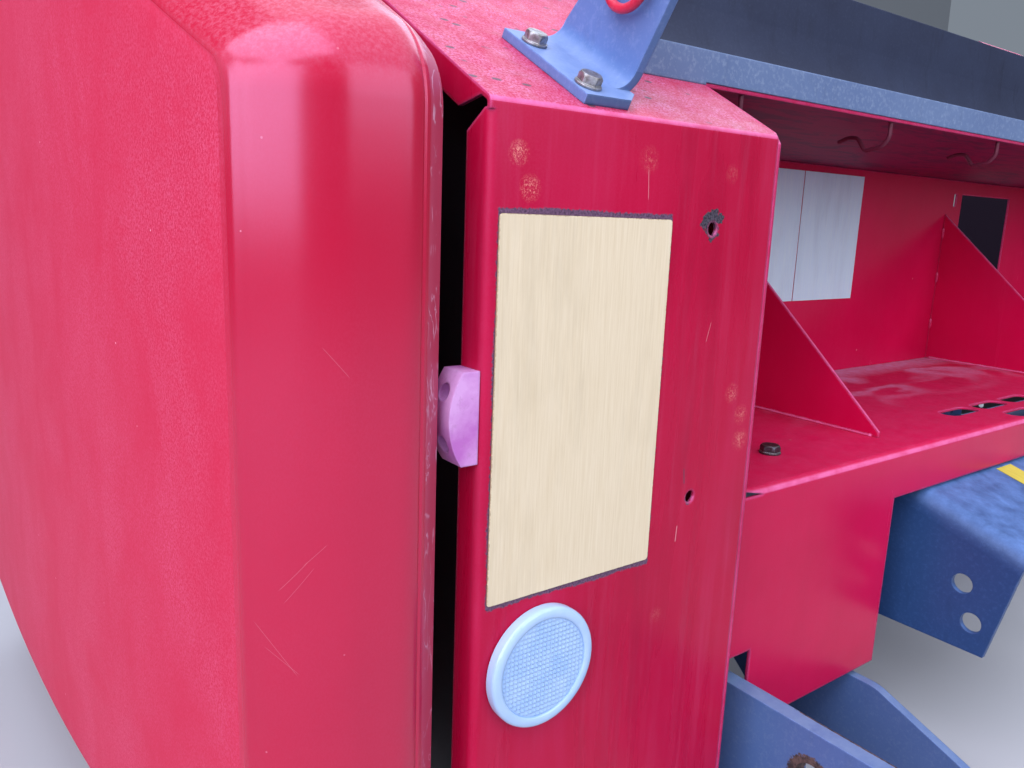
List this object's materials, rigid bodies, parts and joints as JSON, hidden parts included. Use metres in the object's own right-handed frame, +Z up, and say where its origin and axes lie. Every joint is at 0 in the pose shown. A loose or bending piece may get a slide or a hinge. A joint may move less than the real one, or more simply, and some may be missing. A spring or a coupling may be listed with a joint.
{
  "type": "round baler front section",
  "caption": "Front section of a round baler: net box with shelf and tray, two corner housings, hinged side covers, brackets and front frame.",
  "frame": {"origin": "centre of the chassis flange's four holes, on its rear face, in the machine's middle", "axes": "+X to the viewer's right when facing the front, +Y to the rear, +Z up; the front faces -Y"},
  "size_m": [2.762, 0.971, 1.0511],
  "materials": {
    "red_sheet": "glossy crimson paint on bent sheet, dusty and scratched",
    "red_cover": "glossy red moulding, dusty",
    "grey_paint": "satin blue-grey paint",
    "dark_grey_paint": "satin dark grey paint, dusty",
    "dark_paint": "satin black paint",
    "red_pin": "glossy red paint",
    "pink_block": "dull lilac pink plastic, weathered",
    "white_reflector": "clear gloss plastic over white prisms",
    "cream_sign": "printed cream foil, left blank",
    "white_sheet": "white foil, left blank",
    "hook_wire": "red painted wire, worn",
    "zinc": "dull zinc-plated steel"
  },
  "bodies": {
    "front_section": {"housing_left": "red_sheet", "housing_right": "red_sheet", "inner_wall_left": "red_sheet", "inner_wall_right": "red_sheet", "side_plate_left": "dark_paint", "side_plate_right": "dark_paint", "hinge_brackets_left": "dark_paint", "hinge_brackets_right": "dark_paint", "roll_bracket_left": "grey_paint", "roll_bracket_right": "grey_paint", "lock_pin_left": "red_pin", "lock_pin_right": "red_pin", "buffer_left": "pink_block", "buffer_right": "pink_block", "reflector_left": "white_reflector", "reflector_right": "white_reflector", "sign_plate_left": "cream_sign", "sign_plate_right": "cream_sign", "shelf": "red_sheet", "back_wall": "red_sheet", "recess_roof": "red_sheet", "net_tray": "dark_grey_paint", "front_rail": "grey_paint", "gusset_left": "red_sheet", "gusset_middle": "red_sheet", "gusset_right": "red_sheet", "wire_hooks": "hook_wire", "bracket_bolts": "zinc", "shelf_bolts": "zinc", "info_sheets": "white_sheet", "cross_beam": "grey_paint", "chassis_flange": "grey_paint", "lug_plates": "grey_paint", "rounded_lugs": "grey_paint", "box_brackets": "grey_paint"},
    "cover_left": {"side_cover_left": "red_cover", "cover_straps_left": "dark_paint"},
    "cover_right": {"side_cover_right": "red_cover", "cover_straps_right": "dark_paint"}
  },
  "joints": [
    {"name": "cover_left_swing", "type": "hinge", "parent": "front_section", "child": "cover_left", "pos_m": [-1.192, 0.4328, 0.36], "axis": [0, 0, -1], "range_deg": [0, 95]},
    {"name": "cover_right_swing", "type": "hinge", "parent": "front_section", "child": "cover_right", "pos_m": [1.192, 0.4328, 0.36], "axis": [0, 0, 1], "range_deg": [0, 95]}
  ]
}
